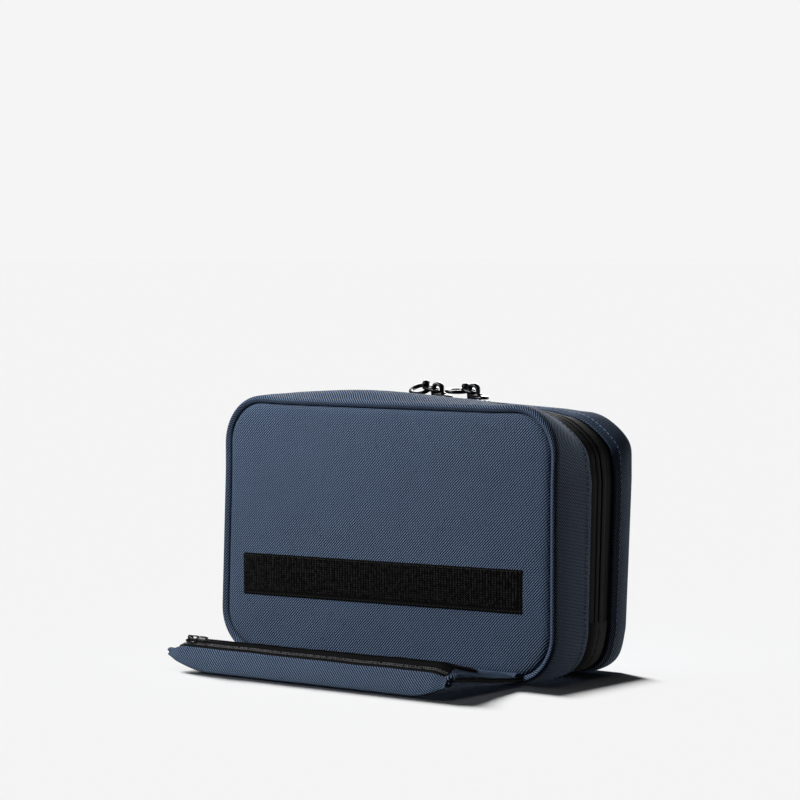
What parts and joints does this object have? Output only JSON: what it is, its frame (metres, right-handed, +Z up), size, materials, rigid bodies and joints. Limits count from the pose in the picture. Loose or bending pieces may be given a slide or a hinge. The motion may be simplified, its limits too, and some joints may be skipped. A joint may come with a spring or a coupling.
{
  "type": "zip-around soft travel organizer case",
  "caption": "Soft twill zip-around travel organizer standing on its long edge, with a hook strip on its face and a zipped flap pouch hinged along the front bottom seam.",
  "frame": {"origin": "centre of the footprint of the whole object, on the surface it stands on", "axes": "+X along the long edge (to the right seen from the front), +Y from the pouch to the back panel, +Z up"},
  "size_m": [0.25, 0.1562, 0.1692],
  "materials": {
    "twill": "navy polyester twill",
    "foam": "closed-cell foam sheet",
    "lining": "plain woven polyester lining",
    "black_tape": "grosgrain binding",
    "elastic": "ribbed elastic webbing",
    "zip_tape": "woven zipper tape",
    "coil": "nylon zipper coil",
    "hook_tape": "hook tape",
    "loop_tape": "brushed loop tape",
    "mesh": "warp-knit mesh",
    "gunmetal": "gloss black-nickel die-cast zinc"
  },
  "bodies": {
    "front_half": {"front_panel": "twill", "hook_strip": "hook_tape", "front_gusset": "twill", "front_foam": "foam", "front_lining": "lining", "front_binding": "black_tape", "front_zip_tape": "zip_tape", "front_coil": "coil", "zip_end_left": "zip_tape", "zip_end_right": "zip_tape", "spine_panel": "twill", "back_bottom_gusset": "twill", "slip_pocket": "lining", "slip_pocket_binding": "black_tape", "elastic_loops": "elastic", "pouch_hinge_tape": "black_tape"},
    "back_half": {"back_panel": "twill", "back_gusset": "twill", "back_foam": "foam", "back_lining": "lining", "back_binding": "black_tape", "back_zip_tape": "zip_tape", "back_coil": "coil", "mesh_pocket": "mesh", "mesh_pocket_binding": "black_tape"},
    "pouch": {"pouch_base": "twill", "pouch_front_band": "twill", "pouch_top": "twill", "pouch_end_left": "twill", "pouch_end_right": "twill", "pouch_tape_front": "zip_tape", "pouch_tape_top": "zip_tape", "pouch_coil_front": "coil", "pouch_coil_top": "coil", "loop_strip": "loop_tape"},
    "slider_left": {"slider_left": "gunmetal"},
    "slider_right": {"slider_right": "gunmetal"},
    "pull_left": {"pull_left": "gunmetal"},
    "pull_right": {"pull_right": "gunmetal"},
    "pouch_slider": {"pouch_slider": "gunmetal"},
    "pouch_pull": {"pouch_pull": "gunmetal"}
  },
  "joints": [
    {"name": "back_open", "type": "hinge", "parent": "front_half", "child": "back_half", "pos_m": [0, 0.07485, 0.004], "axis": [-1, 0, 0], "range_deg": [0, 90]},
    {"name": "pouch_fold", "type": "hinge", "parent": "front_half", "child": "pouch", "pos_m": [0, -0.00515, 0.006], "axis": [-1, 0, 0], "range_deg": [0, 72]},
    {"name": "slider_left_slide", "type": "slide", "parent": "front_half", "child": "slider_left", "axis": [-1, 0, 0], "range_m": [0, 0.08]},
    {"name": "slider_right_slide", "type": "slide", "parent": "front_half", "child": "slider_right", "axis": [1, 0, 0], "range_m": [0, 0.052]},
    {"name": "pull_left_swing", "type": "hinge", "parent": "slider_left", "child": "pull_left", "pos_m": [0.007, 0.04585, 0.1635], "axis": [0, 1, 0], "range_deg": [0, 60]},
    {"name": "pull_right_swing", "type": "hinge", "parent": "slider_right", "child": "pull_right", "pos_m": [0.034, 0.04585, 0.1635], "axis": [0, 1, 0], "range_deg": [0, 145]},
    {"name": "pouch_slider_slide", "type": "slide", "parent": "pouch", "child": "pouch_slider", "axis": [1, 0, 0], "range_m": [0, 0.178]},
    {"name": "pouch_pull_swing", "type": "hinge", "parent": "pouch_slider", "child": "pouch_pull", "pos_m": [-0.089, -0.07436, 0.01991], "axis": [0, -0.8944, -0.4472], "range_deg": [0, 145]}
  ]
}
